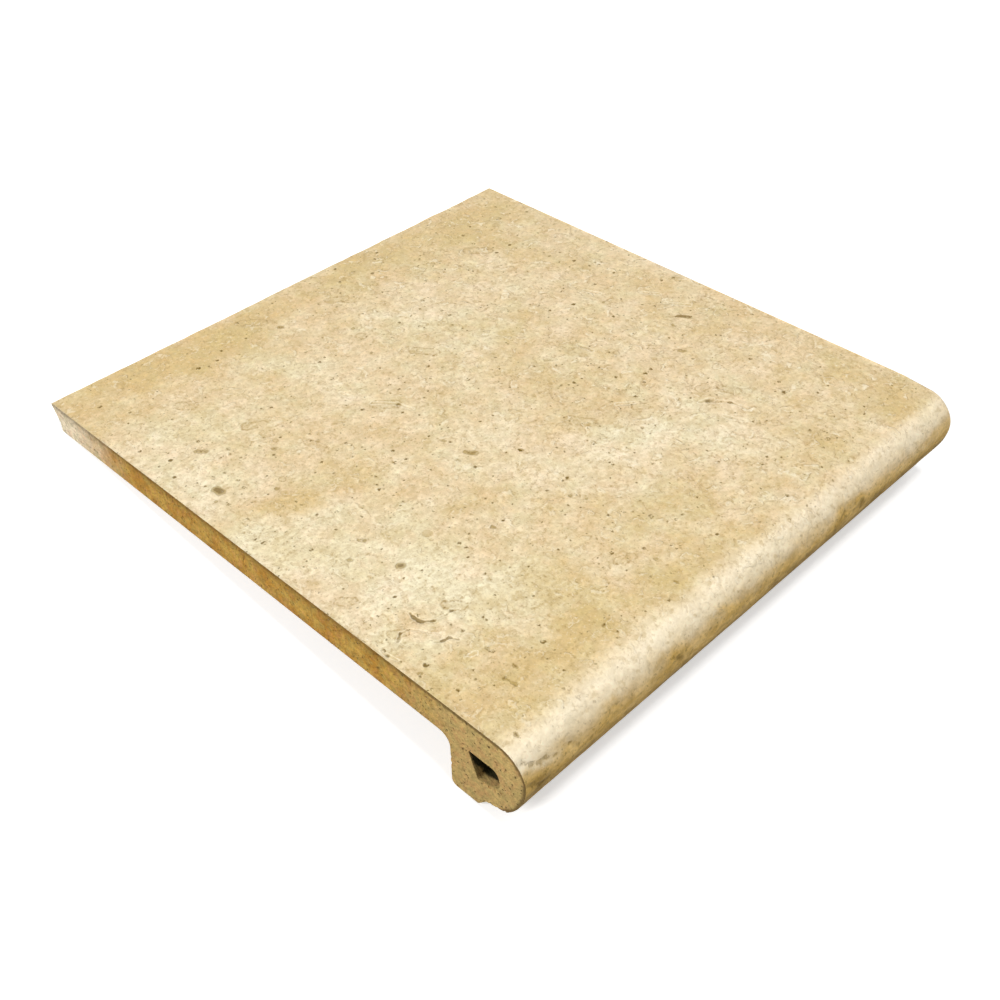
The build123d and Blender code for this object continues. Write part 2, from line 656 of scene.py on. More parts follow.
# %% [markdown]
# ## Stains, brushed on
# The glaze is stained in soft clouds. They could be sums of ovals in the shader, but each oval
# would be worked out again for every ray. So they are brushed onto the mesh's points once, as
# attributes that the shader reads. A stroke of the brush is a line between two places in the
# picture with a soft edge. For the clouds, noise makes it stray, so that no stroke looks drawn.
# "stain" runs from pale to tan, and "warmth" from greenish to pink.

# %% Brush the clouds


def canvas(strays):
    """The mesh's points, strayed by noises of some widths and reaches, in a tree for quick finding."""
    tree = KDTree(len(tile.data.vertices))
    for index, vertex in enumerate(tile.data.vertices):
        point = vertex.co / MM
        moves = (noise_vector(point / width) * reach for width, reach in strays)
        tree.insert(point + sum(moves, Vector((0, 0, 0))), index)
    tree.balance()
    return tree


def brush(tree, strokes):
    """Each point's level after the strokes: two places of the picture, a width in mm, a strength."""
    levels = [0.0] * len(tile.data.vertices)
    for from_across, from_down, to_across, to_down, width, strength in strokes:
        start, end = seen_at(from_across, from_down), seen_at(to_across, to_down)
        reach = ((end - start).length + width) / 2
        for place, index, _ in tree.find_range((start + end) / 2, reach):
            nearest, share = intersect_point_line(place, start, end) if start != end else (start, 0)
            nearest = start if share < 0 else end if share > 1 else nearest
            gap = min((place - nearest).length / (width / 2), 1)
            levels[index] += strength * (1 - gap * gap * (3 - 2 * gap))
    return levels


def keep(name, levels):
    """Stores the levels of the mesh's points as an attribute that a shader can read."""
    tile.data.attributes.new(name, "FLOAT", "POINT").data.foreach_set("value", levels)
    print(name, "runs from", round(min(levels), 2), "to", round(max(levels), 2))


tan_strokes = (
    (62, 404, 150, 372, 58, 0.5), (100, 425, 135, 414, 34, 0.25), (120, 384, 145, 374, 24, 0.3),
    (150, 370, 220, 345, 50, 1.1), (480, 640, 450, 690, 26, 0.3), (470, 216, 505, 205, 44, 0.4),
    (680, 632, 716, 606, 24, 0.9), (190, 357, 212, 346, 26, 0.7), (235, 332, 480, 208, 44, 0.4),
    (345, 266, 380, 250, 30, 0.45), (410, 262, 520, 215, 78, 0.4), (460, 232, 500, 240, 34, 0.3),
    (540, 255, 720, 312, 62, 0.3), (520, 250, 575, 262, 26, 0.35), (640, 300, 700, 330, 52, 0.2),
    (501, 338, 522, 314, 18, 1.0), (546, 320, 572, 312, 12, 0.4), (330, 326, 388, 318, 17, 0.4),
    (240, 332, 252, 308, 26, 0.35), (362, 430, 424, 445, 18, 0.5), (520, 360, 600, 400, 72, 0.35),
    (560, 342, 602, 358, 18, 0.35), (236, 522, 288, 508, 34, 0.5), (280, 504, 350, 480, 36, 0.6),
    (463, 509, 482, 494, 16, 0.55), (522, 440, 548, 430, 18, 0.25), (555, 505, 600, 498, 26, 0.35),
    (560, 575, 584, 597, 32, 0.6), (562, 645, 592, 625, 42, 0.75), (598, 622, 655, 590, 42, 0.55),
    (660, 580, 705, 560, 42, 0.5), (650, 512, 700, 500, 34, 0.45), (700, 550, 745, 530, 34, 0.4),
    (480, 692, 585, 662, 56, 0.6), (500, 690, 527, 666, 24, 0.4), (500, 736, 545, 704, 34, 0.6),
    (440, 702, 470, 716, 32, 0.3), (850, 374, 905, 400, 60, 0.75), (890, 395, 900, 412, 32, 0.4),
    (830, 440, 852, 456, 26, 0.55), (778, 380, 792, 370, 18, 0.35), (798, 412, 835, 428, 40, 0.35),
    (770, 472, 822, 440, 40, 0.25), (620, 540, 680, 530, 78, 0.25), (740, 320, 830, 350, 52, 0.25),
)
pale_strokes = (
    (150, 450, 205, 500, 52, 0.55), (205, 450, 255, 472, 40, 0.2), (330, 370, 352, 396, 34, 0.3),
    (296, 370, 332, 376, 30, 0.25), (426, 570, 450, 592, 40, 0.4), (440, 592, 475, 570, 42, 0.35),
    (352, 642, 382, 590, 52, 0.5), (372, 600, 386, 645, 30, 0.25), (330, 520, 420, 560, 66, 0.4),
    (602, 442, 650, 430, 44, 0.5), (622, 462, 650, 450, 22, 0.35), (664, 422, 684, 400, 32, 0.3),
    (708, 366, 724, 374, 26, 0.35), (718, 442, 742, 430, 30, 0.3), (470, 602, 505, 570, 40, 0.35),
    (380, 302, 455, 310, 58, 0.25), (480, 440, 560, 470, 80, 0.4), (170, 520, 300, 618, 34, 0.35),
    (310, 620, 400, 695, 26, 0.3), (640, 440, 720, 430, 60, 0.25), (250, 545, 330, 580, 60, 0.4),
)
green_strokes = (
    (150, 430, 240, 420, 60, 1.0), (165, 470, 215, 490, 44, 1.2), (262, 350, 335, 385, 46, 1.0),
    (312, 290, 360, 288, 30, 1.0), (400, 255, 425, 280, 26, 1.0), (400, 330, 480, 330, 56, 1.0),
    (245, 540, 330, 560, 50, 1.0), (345, 520, 425, 540, 56, 1.0), (430, 570, 540, 590, 60, 1.1),
    (510, 490, 522, 560, 26, 1.0), (455, 580, 485, 596, 26, 1.2), (605, 442, 690, 425, 46, 1.0),
    (742, 505, 752, 505, 32, 1.0), (700, 365, 750, 392, 26, 0.8), (630, 370, 640, 390, 18, 0.8),
    (378, 605, 388, 645, 24, 1.3), (422, 650, 432, 692, 28, 1.5), (450, 440, 480, 480, 32, 0.8),
    (470, 620, 540, 600, 46, 0.9), (500, 225, 540, 240, 26, 0.7),
)
brown_strokes = (
    (541, 758, 576, 752, 15, 0.5), (562, 747, 576, 747, 11, 0.3), (526, 786, 548, 778, 13, 0.9),
    (548, 770, 575, 762, 12, 0.6), (612, 716, 628, 712, 12, 0.9), (652, 676, 690, 652, 17, 0.6),
    (678, 664, 688, 656, 10, 0.8), (716, 616, 728, 614, 10, 0.7), (736, 586, 776, 582, 14, 0.7),
    (800, 556, 836, 532, 12, 0.4), (838, 522, 862, 506, 17, 0.9), (862, 508, 884, 494, 13, 0.9),
    (888, 482, 916, 462, 17, 0.6), (930, 436, 944, 428, 15, 0.5),
)
clouded = canvas([(26, 8), (10, 4), (4, 1.5)])
tan_levels, pale_levels = brush(clouded, tan_strokes), brush(clouded, pale_strokes)
keep("stain", [darker - paler for darker, paler in zip(tan_levels, pale_levels)])
keep("warmth", [-level for level in brush(clouded, green_strokes)])
keep("browned", brush(clouded, brown_strokes))

# %% [markdown]
# ## Marks with an edge
# Discs, rings and the lips of flaked stone have a clear edge, yet the points lie over a millimetre
# apart. So each mark is brushed twice as wide as it shows, as a soft hill, and the shader cuts the
# hill off at a height. The cut between the points is as sharp as the shader makes it. A ring is a
# hill cut at one height only.

# %% Brush the marks
spot_strokes = (
    (216, 489, 220, 491, 9.5, 1.3), (216.5, 501, 217, 501, 4.5, 0.9),
    (197, 451, 207, 451, 5.5, 1.0), (280, 327, 282, 327, 6, 1.0), (353, 328, 354, 328, 5, 0.9),
    (466, 451, 476, 452, 6, 1.0), (444, 441, 445, 441, 4.5, 0.9),
    (521, 449.5, 522, 449.5, 5.5, 1.0), (399, 565, 403, 565, 7.5, 1.1),
    (349, 560, 351, 560, 6.5, 0.8), (274, 448, 275, 448, 5, 1.1), (458, 460, 460, 460, 6.5, 0.7),
    (360, 539, 365, 540, 4.5, 1.0), (570, 495, 571, 495, 4.5, 0.9), (587, 498, 588, 498, 4, 0.8),
    (492, 527, 494, 527, 5, 1.0), (676, 582, 677, 582, 4.5, 0.9), (655, 558, 656, 558, 4.5, 0.9),
    (515, 665, 516, 666, 4.2, 1.2), (505, 679, 506, 679, 4, 1.4), (511, 682, 517, 684, 3.6, 0.9),
    (486, 648, 487, 648, 4, 1.0), (516, 734, 517, 735, 3.8, 1.2), (592, 737, 592.5, 737, 4, 1.3),
    (678, 316, 690, 317, 5.5, 1.4), (678, 350, 685, 350.5, 4.5, 1.0), (672, 324, 676, 326, 4, 0.8),
    (604, 302, 605, 302, 4, 1.0), (237, 480, 239, 480, 4, 0.8), (277, 488, 278, 488, 4.5, 1.0),
    (482, 735, 483, 736, 4, 1.1), (420, 673, 421, 673, 4, 1.0),
)
ring_strokes = (
    (247, 426, 262, 423, 11, 1.0), (180, 405, 192, 405, 13, 1.0), (282, 479, 282.5, 479, 6.5, 1.0),
    (275, 440, 276, 440, 6, 1.0), (340, 601, 351, 601, 10, 1.0), (240, 323, 262, 322, 12, 1.0),
    (361, 336, 362, 336, 12, 1.0), (650, 346, 660, 346, 6, 1.0), (636, 406, 646, 406, 9, 1.0),
    (704, 298, 712, 300, 9, 1.0), (700, 388, 705, 386, 10, 1.0), (310, 442, 322, 447, 10, 1.0),
    (376, 404, 396, 404, 12, 1.0), (448, 604, 462, 605, 11, 1.0), (392, 634, 404, 632, 9, 1.0),
    (570, 420, 590, 422, 14, 1.0), (724, 388, 736, 390, 12, 1.0), (470, 250, 486, 250, 14, 1.0),
    (330, 300, 344, 298, 12, 1.0), (620, 560, 632, 556, 10, 1.0), (416, 350, 434, 352, 12, 1.0),
)
lip_strokes = (
    (409, 612, 413, 617, 3.0, 1.0), (412, 616, 420, 620, 3.6, 1.1), (418, 620, 434, 620, 3.2, 1.0),
    (432, 620, 446, 614, 2.8, 0.8), (446, 614, 452, 609, 2.4, 0.7), (450, 609, 460, 608, 2.6, 0.7),
    (398, 641, 400, 632, 3.0, 0.9), (400, 632, 408, 629, 2.4, 0.8), (410, 629, 426, 631, 2.4, 0.7),
    (428, 633, 444, 632, 2.6, 0.7), (443, 640, 450, 637, 3.2, 1.0), (448, 637, 458, 639, 2.8, 0.9),
    (434, 641, 444, 640, 2.6, 0.7), (372, 652, 387, 655, 3.0, 0.7), (387, 655, 397, 659, 3.0, 0.7),
    (578, 344, 592, 350, 4, 0.8), (708, 400, 730, 402, 4, 0.7), (730, 402, 750, 408, 4, 0.7),
    (725, 416, 745, 420, 4, 0.8), (642, 292, 660, 293, 4, 0.7), (664, 302, 690, 304, 4, 0.7),
    (700, 402, 712, 398, 4, 0.7), (616, 404, 634, 402, 4, 0.6), (584, 290, 600, 293, 4, 0.6),
    (372, 402, 398, 404, 4, 0.7), (398, 404, 412, 409, 4, 0.6), (340, 392, 352, 396, 4, 0.6),
    (470, 655, 476, 652, 4, 0.6), (521, 764, 533, 764, 4, 1.0), (533, 764, 540, 762, 4, 1.0),
    (540, 762, 546, 757, 4, 0.9), (546, 757, 556, 755, 3.6, 0.8), (556, 755, 565, 752, 3.6, 0.8),
    (562, 746, 570, 743, 3.6, 0.8), (570, 743, 579, 745, 3.6, 0.8), (579, 745, 580, 750, 3.6, 0.7),
    (526, 788, 533, 784, 4.4, 1.0), (533, 784, 541, 784, 4.4, 1.0), (541, 784, 549, 778, 4.4, 1.0),
    (549, 778, 557, 771, 4, 0.8), (534, 794, 544, 786, 4.4, 0.8), (612, 714, 627, 712, 4.4, 0.9),
    (840, 522, 846, 512, 4, 0.9), (846, 512, 860, 508, 4, 0.8), (860, 508, 882, 493, 4, 1.0),
    (738, 580, 774, 585, 4, 0.6), (716, 615, 724, 613, 4, 0.8), (678, 658, 684, 664, 4, 0.8),
)
exact = canvas([(3, 0.6), (9, 0.8)])
lips = brush(exact, lip_strokes)
keep("spots", brush(exact, spot_strokes))
keep("rings", brush(exact, ring_strokes))
keep("lips", lips)

# %% [markdown]
# ## Relief of the worn stone
# The mould that the tread is pressed with gives it the shallow swells, flakes and hollows of a worn
# stone. The net's points are moved by Displace modifiers, with a cloud texture for the swells and
# for the finer flakes, and with the brushed marks for the hollows. Vertex groups say how much each
# point takes part, and every move goes inwards, so that the tile keeps its size.

# %% Sink the relief


def take_part(name, shares):
    """Makes a vertex group in which each point takes part by its share."""
    group = tile.vertex_groups.new(name=name)
    for index, share in enumerate(shares):
        if share > 0:
            group.add([index], min(share, 1), "REPLACE")
    return group.name


def sink(name, group, depth, lump=0, contrast=1):
    """Moves a group's points inwards by up to a depth, evenly or by a cloud of lumps of that width."""
    push = tile.modifiers.new(name, "DISPLACE")
    push.vertex_group, push.strength, push.mid_level = group, depth * MM, 1
    if lump:
        cloud = bpy.data.textures.new(name, "CLOUDS")
        cloud.noise_scale, cloud.noise_depth, cloud.contrast = lump * MM, 2, contrast
        push.texture = cloud
        push.texture_coords = "LOCAL"
    else:
        push.mid_level, push.strength = 0, -depth * MM
    bpy.ops.object.modifier_apply(modifier=name)


glazed = [0.0] * len(tile.data.vertices)
for face in tile.data.polygons:
    if face.material_index == glaze_slot:
        for index in face.vertices:
            glazed[index] = 1.0
relief_drop, share_below = 6, 0.3
for index, vertex in enumerate(tile.data.vertices):
    if vertex.co.z < -relief_drop * MM:
        glazed[index] *= share_below
    if abs(vertex.co.x) > (nose_length / 2 - end_wear) * MM:
        glazed[index] = 0.0
whole_glaze = take_part("whole_glaze", glazed)
flake_strokes = (
    (370, 640, 460, 610, 60, 1.0), (400, 580, 460, 560, 40, 0.6), (620, 320, 760, 400, 70, 0.7),
    (240, 440, 330, 400, 60, 0.5), (330, 300, 480, 260, 80, 0.6), (480, 340, 600, 400, 70, 0.5),
    (560, 600, 640, 560, 60, 0.5), (520, 520, 560, 440, 50, 0.5), (480, 700, 540, 680, 30, 0.6),
)
flake_levels = brush(clouded, flake_strokes)
flaked = take_part("flaked", [level * share for level, share in zip(flake_levels, glazed)])
sink("swells", whole_glaze, 0.5, lump=16, contrast=1.5)
sink("flakes", flaked, 0.4, lump=5, contrast=3)
sink("lips", take_part("lip_points", lips), 0.45)
points = [vertex.co / MM for vertex in tile.data.vertices]
heights = [point.z for point in points if abs(point.y + 160) < 120 and point.z > -2]
print("relief of the tread in mm:", round(min(heights), 2), "to", round(max(heights), 2))

# %% [markdown]
# ## Words for the finishes
# Object coordinates are turned back into the level frame and into millimetres, so that a pit 3 mm
# wide is written as 3 in a shader too. A few short helpers then name what the shaders are made of:
# noise, ramps, blends and pits.

# %% Helpers for the shaders


def start_finish(material):
    """Starts the material's tree afresh, and returns the place in millimetres of the level frame."""
    material.use_nodes = True
    Wire.tree = material.node_tree
    Wire.tree.nodes.clear()
    place = Wire.node("TexCoord", {}, {}, "Object")
    turned = {
        "Vector": place,
        "Location": -tile_drift,
        "Rotation": (rest_tilt, 0, 0),
        "Scale": (1 / MM,) * 3,
    }
    return Wire.node("Mapping", {}, turned)


def brushed(name):
    """The level that was brushed onto the points under that name."""
    return Wire.node("Attribute", {"attribute_name": name}, {}, "Fac")


def parts(vector):
    """The three numbers of a vector, as three wires."""
    first = Wire.node("SeparateXYZ", {}, {0: vector})
    return [Wire(socket) for socket in first.socket.node.outputs]


def vectors(operation, first, second):
    return Wire.node("VectorMath", {"operation": operation}, {0: first, 1: second})


def scaled(vector, factor):
    return Wire.node("VectorMath", {"operation": "SCALE"}, {0: vector, "Scale": factor})


def strayed(place, fine, reach):
    """A place that fine noise moves to and fro over that many millimetres, for ragged edges."""
    return vectors("ADD", place, scaled(vectors("SUBTRACT", fine, (0.5, 0.5, 0.5)), reach))


def noise(place, size, detail, rough, seed, output=0):
    """Cloudy noise round 0.5, whose largest lumps are about that many millimetres wide."""
    moved = vectors("ADD", place, (seed * 137.0, seed * 71.0, seed * 33.0))
    inputs = {"Vector": moved, "Scale": 1 / size, "Detail": detail, "Roughness": rough}
    return Wire.node("TexNoise", {}, inputs, output)


def ramp(value, low, high):
    """0 at low, 1 at high and smooth between them. It falls if low is above high."""
    ends = {
        "From Min": min(low, high),
        "From Max": max(low, high),
        "To Min": float(low > high),
        "To Max": float(low < high),
    }
    return Wire.node("MapRange", {"interpolation_type": "SMOOTHSTEP"}, {"Value": value, **ends})


def paint(red, green, blue):
    """A colour as a picture shows it, from 0 to 255, turned into the light that the shader needs."""
    return (*[((value / 255 + 0.055) / 1.055) ** 2.4 for value in (red, green, blue)], 1)


def blend(share, first, second, how="MIX"):
    """The first colour, with the second laid over it by share."""
    layers = {0: share, 6: first, 7: second}
    return Wire.node("Mix", {"data_type": "RGBA", "blend_type": how}, layers, 2)


def higher(first, second):
    return Wire.sum("MAXIMUM", first, second)


def pits(place, size, widest, share, seed):
    """1 inside small pits. Each cell of that size may have one, and a share of the cells do."""
    moved = vectors("ADD", place, (seed * 53.0, seed * 31.0, seed * 17.0))
    cell = Wire.node("TexVoronoi", {}, {"Vector": moved, "Scale": 1 / size, "Randomness": 1.0})
    luck = parts(Wire(cell.socket.node.outputs["Color"]))[0]
    radius = (luck - (1 - share)) * (widest / share)
    return Wire.node("Clamp", {}, {"Value": (radius - cell * size) * 2.5})


print("shader words ready")

# %% [markdown]
# ## The stone glaze
# The glaze is cream, stained with tan and tinted here and there with pink and green, and it is
# speckled all over like worn travertine. A picture could be laid on it, but it would blur close up
# and would fit no other tile. So the pattern is built in the material, from large to small: the
# brushed stains first, then softer clouds of noise, then curls, grain, flecks, and last the olive
# pits. Towards the front, a pale painted highlight is laid as colour along the shoulder, where the
# sheen falls.

# %% Colour of the tread
cream, tan_stain = paint(246, 232, 201), paint(211, 182, 123)
green_tint, pink_tint = (0.96, 1.0, 0.985, 1), (1.0, 0.96, 0.962, 1)
# The last colour is a painted highlight: the pale sheen of the shoulder, laid on as colour.
highlight_paint = paint(255, 240, 208)
place = start_finish(glaze_finish)
along, back, up = parts(place)
run, drop = back * -1, up * -1
brushed_stain = brushed("stain")
brushed_warmth = brushed("warmth")
cloud_tone, cloud_warmth, cloud_mask = parts(noise(place, 15, 5, 0.66, 1, 1))
fine = noise(place, 1.8, 1.5, 0.7, 2, 1)
grain, fleck, spare = parts(fine)
rough_place = strayed(place, fine, 1.6)

tone = brushed_stain * 0.5 + (cloud_tone - 0.5) * 1.5 + ramp(run, 80, 10) * 0.2
colour = blend(ramp(tone, -0.75, 0.75), cream, tan_stain)
warm = brushed_warmth + (cloud_warmth - 0.5) * 7.0 - ramp(brushed_stain, 0.1, 0.8) * 0.6 + 0.4
colour = blend(ramp(warm, 0.0, -0.8), colour, green_tint, "MULTIPLY")
colour = blend(ramp(warm, 0.0, 1.0), colour, pink_tint, "MULTIPLY")
# A painted highlight: the shoulder of the nose is made paler where the sheen falls, more towards the
# near end.
highlight_run = run + (cloud_mask - 0.5) * 10 + ramp(along, 60, -110) * 6
painted_highlight = ramp(highlight_run, 315, tread_depth) * ramp(drop, 15, 5)
colour = blend(painted_highlight * 0.85, colour, highlight_paint)
print("glaze nodes with the stains:", len(Wire.tree.nodes))

# %% [markdown]
# ## Curls, blotches, grain and pits
# Worn stone shows small broken curls, as of shells. A curl is one level line of a noise, as on a
# map: where the level is high, the lines close into rings. A second noise breaks the lines, or they
# would run on like hair. Along one side of each line lies a thin pale rim, a painted highlight as if
# that side caught the light. Pits are dots in cells of many sizes, because noise alone gives no round
# ones. Everything is worked out in a place that fine noise has strayed, so that no edge is clean.

# %% Curls, blotches, grain and pits
slight = strayed(place, fine, 1.4)
lumps, blots, curl_mask = parts(noise(slight, 10, 1.5, 0.55, 3, 1))
breaks, mottle, blotch_tone = parts(noise(rough_place, 4.5, 2, 0.6, 7, 1))
curl_level, second_level = 0.54, 0.56
curl_width = ramp(mottle, 0.38, 0.62) * 0.045 + 0.014
broken = ramp(breaks, 0.47, 0.55) * ramp(curl_mask, 0.42, 0.52)
gap = (lumps - curl_level) / curl_width
curls = ramp(abs(gap), 1.0, 0.3) * broken
second_curls = ramp(abs(blots - second_level) / curl_width, 1.0, 0.3)
second_curls = second_curls * ramp(breaks, 0.5, 0.44) * ramp(spare, 0.35, 0.5)
curls = higher(curls, second_curls)
# A painted highlight: a thin pale line beside each curl, as if that side caught the light.
rim_highlights = ramp(abs(gap - 1.6), 1.0, 0.2) * broken
worn = ramp(along, -70, 60)
inside = ramp(lumps, curl_level - 0.02, curl_level + 0.06) * broken
blotch = ramp(blotch_tone, 0.57, 0.67)
dark_fleck = ramp(fleck, 0.6, 0.68)
pale_fleck = ramp(fleck, 0.42, 0.32)
dots = higher(pits(rough_place, 2.8, 0.85, 0.6, 1), pits(rough_place, 6, 1.5, 0.65, 2))
dots = dots * ramp(spare, 0.34, 0.6)
spots = pits(rough_place, 22, 3.0, 0.6, 3)
print("glaze nodes with the small parts:", len(Wire.tree.nodes))

# %% [markdown]
# ## Edges of the brushed marks
# Here the brushed hills become marks. A disc is all that is higher than the cut, its rim and a ring
# are the band of heights round it, and a lip gets a pale line along its foot, a painted highlight as
# if that edge caught the light. A little grain is added to the height before it is cut, because an
# evenly round mark looks printed.

# %% Brushed marks
marks, rings, lips = (brushed(name) for name in ("spots", "rings", "lips"))
ragged = (grain - 0.5) * 0.5
marked = ramp(marks + ragged, 0.44, 0.6)
mark_rim = ramp(abs(marks + ragged - 0.5), 0.18, 0.04) * ramp(marks, 0.1, 0.3)
ringed = ramp(abs(rings + ragged - 0.5), 0.2, 0.05) * ramp(rings, 0.1, 0.3)
ringed = ringed * ramp(spare, 0.32, 0.52)
ring_floor = ramp(rings, 0.5, 0.6)
lipped = ramp(lips + ragged * 0.6, 0.42, 1.05)
# A painted highlight: a pale line along the foot of each lip.
lip_highlight = ramp(abs(lips + ragged * 0.4 - 0.26), 0.14, 0.04)
print("glaze nodes with the marks:", len(Wire.tree.nodes))

# %% [markdown]
# ## Order of the layers
# Each part is laid over the colour so far by a share, as thin washes of glaze would be: grain and
# mottling make the colour lighter or darker, then come the wide pale parts, the ochre lines, and
# the small dark cores last. The pale lines beside curls and lips are painted highlights. The shares
# are kept low, because worn stone has many faint marks and few strong ones. Under the painted
# highlight on the shoulder they are calmed.

# %% Lay the small parts over the stains
sand, ochre, old_gold = paint(216, 188, 130), paint(184, 154, 86), paint(170, 136, 70)
olive, dark_core, lip_brown = paint(160, 133, 66), paint(112, 86, 34), paint(118, 94, 36)
# The pale colour serves the pale flecks and the painted highlights beside curls and lips.
fleck_and_highlight_paint, pit_olive = paint(255, 244, 216), paint(116, 92, 34)
# Under the painted highlight on the shoulder, grain, lines and pits are calmed.
calm_under_highlight = 1 - painted_highlight * 0.6
colour = scaled(colour, (grain - 0.5) * calm_under_highlight * 0.36 + (mottle - 0.5) * 0.46 + 1.035)
colour = blend(ramp(grain * 0.6 + mottle * 0.4, 0.6, 0.4) * calm_under_highlight * 0.32, colour, sand)
colour = blend(inside * 0.08 + blotch * 0.3 + spots * 0.35 + ring_floor * 0.2, colour, ochre)
line_share = curls * calm_under_highlight * (worn * 0.08 + 0.27) + dark_fleck * calm_under_highlight * 0.36 + ringed * 0.5
colour = blend(line_share, colour, old_gold)
colour = blend(marked * 0.52, colour, olive)
colour = blend(mark_rim * 0.2 + ramp(marks + ragged, 0.72, 1.0) * 0.65, colour, dark_core)
colour = blend(lipped * (1 - ramp(drop, 0.5, 3) * 0.45) * 0.8, colour, lip_brown)
# Pale flecks are the glaze's own; the pale lines beside curls and lips are painted highlights.
fleck_and_highlight_share = pale_fleck * 0.22 + rim_highlights * (worn * 0.15 + 0.36) + lip_highlight * 0.45
colour = blend(fleck_and_highlight_share, colour, fleck_and_highlight_paint)
colour = blend(dots * calm_under_highlight * 0.9, colour, pit_olive)
print("glaze nodes with the layers:", len(Wire.tree.nodes))

# %% [markdown]
# ## Front of the nose
# Down the front of the nose the glaze turns golden and then brown, in runs that hang from the
# shoulder. The depth below the tread sets the tone, and noise that is stretched along the nose,
# with the brushed patches, moves that depth up and down. It is one material with the tread, so that
# the browning can fade in without a seam.

# %% Front of the nose
gold, dark_gold = paint(234, 197, 122), paint(212, 174, 96)
foot_gold, foot_brown = paint(178, 143, 72), paint(142, 113, 52)
front_fleck, front_lip = paint(112, 90, 34), paint(74, 60, 22)
long_place = vectors("MULTIPLY", rough_place, (0.5, 1, 1))
streaks, smears, low_waves = parts(noise(long_place, 7, 2.5, 0.62, 4, 1))
long_waves = parts(noise(place, 38, 1, 0.5, 5, 1))[0]
browned = brushed("browned")
browning = ramp(drop + (streaks - 0.5) * 8 + (long_waves - 0.5) * 6 + browned * 6, 2.5, 17)
front = blend(ramp(smears, 0.38, 0.62), gold, dark_gold)
low_front = blend(ramp(low_waves, 0.4, 0.6), foot_gold, foot_brown)
front = blend(ramp(drop + (streaks - 0.5) * 14 + browned * 6, 16, 25), front, low_front)
front = scaled(front, (grain - 0.5) * 0.6 + (mottle - 0.5) * 0.6 + 1.0)
front = blend(dark_fleck * 0.4 + marked * 0.4, front, front_fleck)
colour = blend(browning, colour, front)
colour = blend(lipped * browning * 0.35, colour, front_lip)
print("glaze nodes with the front:", len(Wire.tree.nodes))

# %% [markdown]
# ## Surface of the glaze
# Relief finer than the net comes from a Bump node. It is a sum of the same parts that colour the
# glaze, so that each pit and curl is dark and sunk at the same spot. The clear glaze over the stone
# is a coat, which shines more softly than its own layer would, and it is missing in the pits and on
# the browned front, where it is dull.

# %% Surface of the glaze
bump_depth = 0.0003
relief = grain * 0.6 - curls * 0.3 - dots * 0.3 + cloud_tone * 1.0 + mottle * 0.8 - spots * 0.4
relief = relief - dark_fleck * 0.3
relief = relief - marked * 0.4 - ringed * 0.3 - lipped * 0.8 + inside * 0.4 - curls * worn * 0.3
bump = Wire.node("Bump", {}, {"Strength": 1.0, "Distance": bump_depth, "Height": relief})
clear_coat = (1 - browning) * (1 - dots * calm_under_highlight) * (1 - higher(marked, lipped) * 0.8)
surface = Wire.node("BsdfPrincipled", {}, {
    "Base Color": colour,
    "Roughness": 0.7,
    "Normal": bump,
    "Specular IOR Level": 0.1,
    "Coat Weight": clear_coat,
    "Coat Roughness": 0.36,
})
Wire.node("OutputMaterial", {}, {"Surface": surface})
print("glaze nodes:", len(Wire.tree.nodes))

# %% [markdown]
# ## The bare clay
# The cut ends, the underside and the core hole show the body: ochre clay with fine dark pores,
# greyer towards the back, where it is less burnt, and round the nose. Just under the glaze, heat
# and glaze have stained it dark, so that stain follows the outline of the tread and the nose at a
# depth. The depth is worked out from the same curves as the shape: the drop below the tread, or the
# distance inside the arc of the shoulder or of the lower front.

# %% Depth below the glazed outline
place = start_finish(clay_finish)
along, back, up = parts(place)
run, drop = back * -1, up * -1


def inside_arc(radius):
    """How deep a place lies inside the arc of that radius that touches the widest part of the nose."""
    forward, below = run - (tread_depth - radius), drop - bullnose_radius
    return radius - Wire.sum("POWER", forward * forward + below * below, 0.5)


in_front = Wire.sum("GREATER_THAN", run, tread_depth - bullnose_radius)
in_lower_front = in_front * Wire.sum("GREATER_THAN", drop, bullnose_radius)
depth = drop + in_front * (inside_arc(bullnose_radius) - drop)
depth = depth + in_lower_front * (inside_arc(curve_radius) - depth)
print("clay nodes for the depth:", len(Wire.tree.nodes))

# %% [markdown]
# ## Colour of the clay
# The ochre is mottled in two sizes, pale at the back edge and greyish at the nose, with faint red
# and olive tinges. Over it come the dark stain under the glaze, then the pores, and last painted
# shade in the core hole: near black, where little light reaches the clay. It begins a little inside
# the hole's mouth, and deeper in over the hole's floor, because light still reaches the clay there.

# %% Colour of the clay
light_ochre, deep_ochre = paint(187, 150, 71), paint(174, 127, 50)
nose_clay, back_clay = paint(184, 156, 98), paint(234, 218, 188)
red_tinge, olive_tinge = paint(190, 134, 88), paint(150, 140, 84)
# The last colour is painted shade for the inside of the core hole.
under_glaze, pore_dark, painted_hole_shade = paint(84, 64, 30), paint(74, 54, 22), paint(30, 30, 12)
mottle, burnt, pore_mask = parts(noise(place, 10, 4, 0.65, 1, 1))
patch, tinge, _ = parts(noise(place, 4, 2, 0.6, 6, 1))
fine = noise(place, 1.3, 2, 0.75, 2, 1)
grain, fleck, spare = parts(fine)
rough_place = strayed(place, fine, 1.2)
colour = blend(ramp(mottle, 0.38, 0.62), light_ochre, deep_ochre)
colour = blend(ramp(run + (burnt - 0.5) * 60, 245, 300), colour, nose_clay)
colour = blend(ramp(run + (burnt - 0.5) * 40, 72, 8), colour, back_clay)
colour = blend(ramp(tinge, 0.5, 0.66) * 0.3, colour, red_tinge)
colour = blend(ramp(tinge, 0.5, 0.34) * 0.3, colour, olive_tinge)
colour = scaled(colour, (grain - 0.5) * 1.1 + (patch - 0.5) * 0.7 + 1.0)
near_nose = ramp(run, 240, 300)
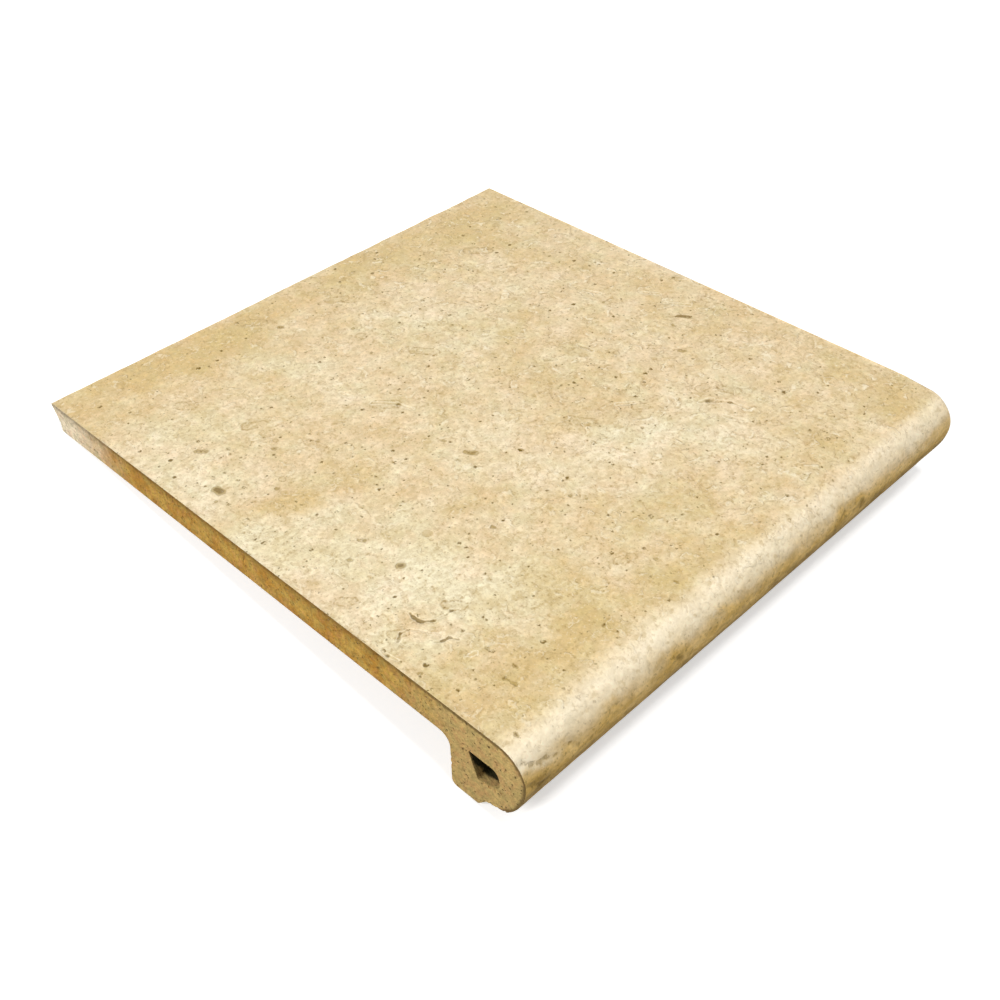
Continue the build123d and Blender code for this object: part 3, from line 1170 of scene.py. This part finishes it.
rim = ramp(depth + (patch - 0.5) * 1.6, 2.6, 1.0) * (near_nose * 0.45 + 0.3)
rim = rim + ramp(depth, 8, 2) * (1 - near_nose) * 0.3
colour = blend(rim, colour, under_glaze)
small_pores = pits(rough_place, 1.8, 0.6, 0.5, 1)
wide_pores = pits(rough_place, 4, 1.1, 0.6, 2) * ramp(pore_mask, 0.42, 0.55)
pores = higher(small_pores, wide_pores)
colour = blend(pores * (near_nose * 0.35 + 0.45), colour, pore_dark)
core_low, core_high = (299.5, 16), (320, 32)
in_core = Wire.sum("GREATER_THAN", run, core_low[0]) * Wire.sum("LESS_THAN", run, core_high[0])
in_core = in_core * Wire.sum("GREATER_THAN", drop, core_low[1])
in_core = in_core * Wire.sum("LESS_THAN", drop, core_high[1])
# Painted shade inside the core hole: the clay goes near black a little inside the mouth, and deeper in
# over the hole's floor.
mouth = nose_length / 2 - ramp(drop, 24, 29) * 3 + (patch - 0.5) * 3
hole_shade_share = in_core * ramp(mouth - abs(along), 0.0, 1.5)
colour = blend(hole_shade_share * 0.96, colour, painted_hole_shade)
print("clay nodes with the colour:", len(Wire.tree.nodes))

# %% [markdown]
# ## Surface of the clay
# The cut clay is dull and sandy: no coat, a high roughness, and a coarser bump than on the glaze,
# into which the pores are sunk.

# %% Surface of the clay
bump_depth = 0.0006
relief = grain * 1.2 + patch - pores
bump = Wire.node("Bump", {}, {"Strength": 1.0, "Distance": bump_depth, "Height": relief})
surface = Wire.node("BsdfPrincipled", {}, {
    "Base Color": colour,
    "Roughness": 0.9,
    "Normal": bump,
    "Specular IOR Level": 0.15,
})
Wire.node("OutputMaterial", {}, {"Surface": surface})
print("clay nodes:", len(Wire.tree.nodes))

# %% [markdown]
# ## Onto the floor
# The finished mesh is shaded smooth except at its sharp edges, turned and moved to where the CAD
# tile lies, and the move is applied, so that the object itself sits at the origin. Then it is tied
# to the CAD model: it rides on the only body there is, and is shown in the tile's place, where the
# CAD tile is hidden.

# %% Lay the tile on the floor
sharp_angle = radians(35)
bpy.ops.object.select_all(action="DESELECT")
tile.select_set(True)
bpy.context.view_layer.objects.active = tile
bpy.ops.object.shade_smooth_by_angle(angle=sharp_angle)
tile.rotation_euler = (-rest_tilt, 0, 0)
tile.location = tile_shift
bpy.ops.object.transform_apply(location=True, rotation=True, scale=True)
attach(tile, "root")
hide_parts("tread_tile")
print("triangles:", sum(len(face.vertices) - 2 for face in tile.data.polygons))
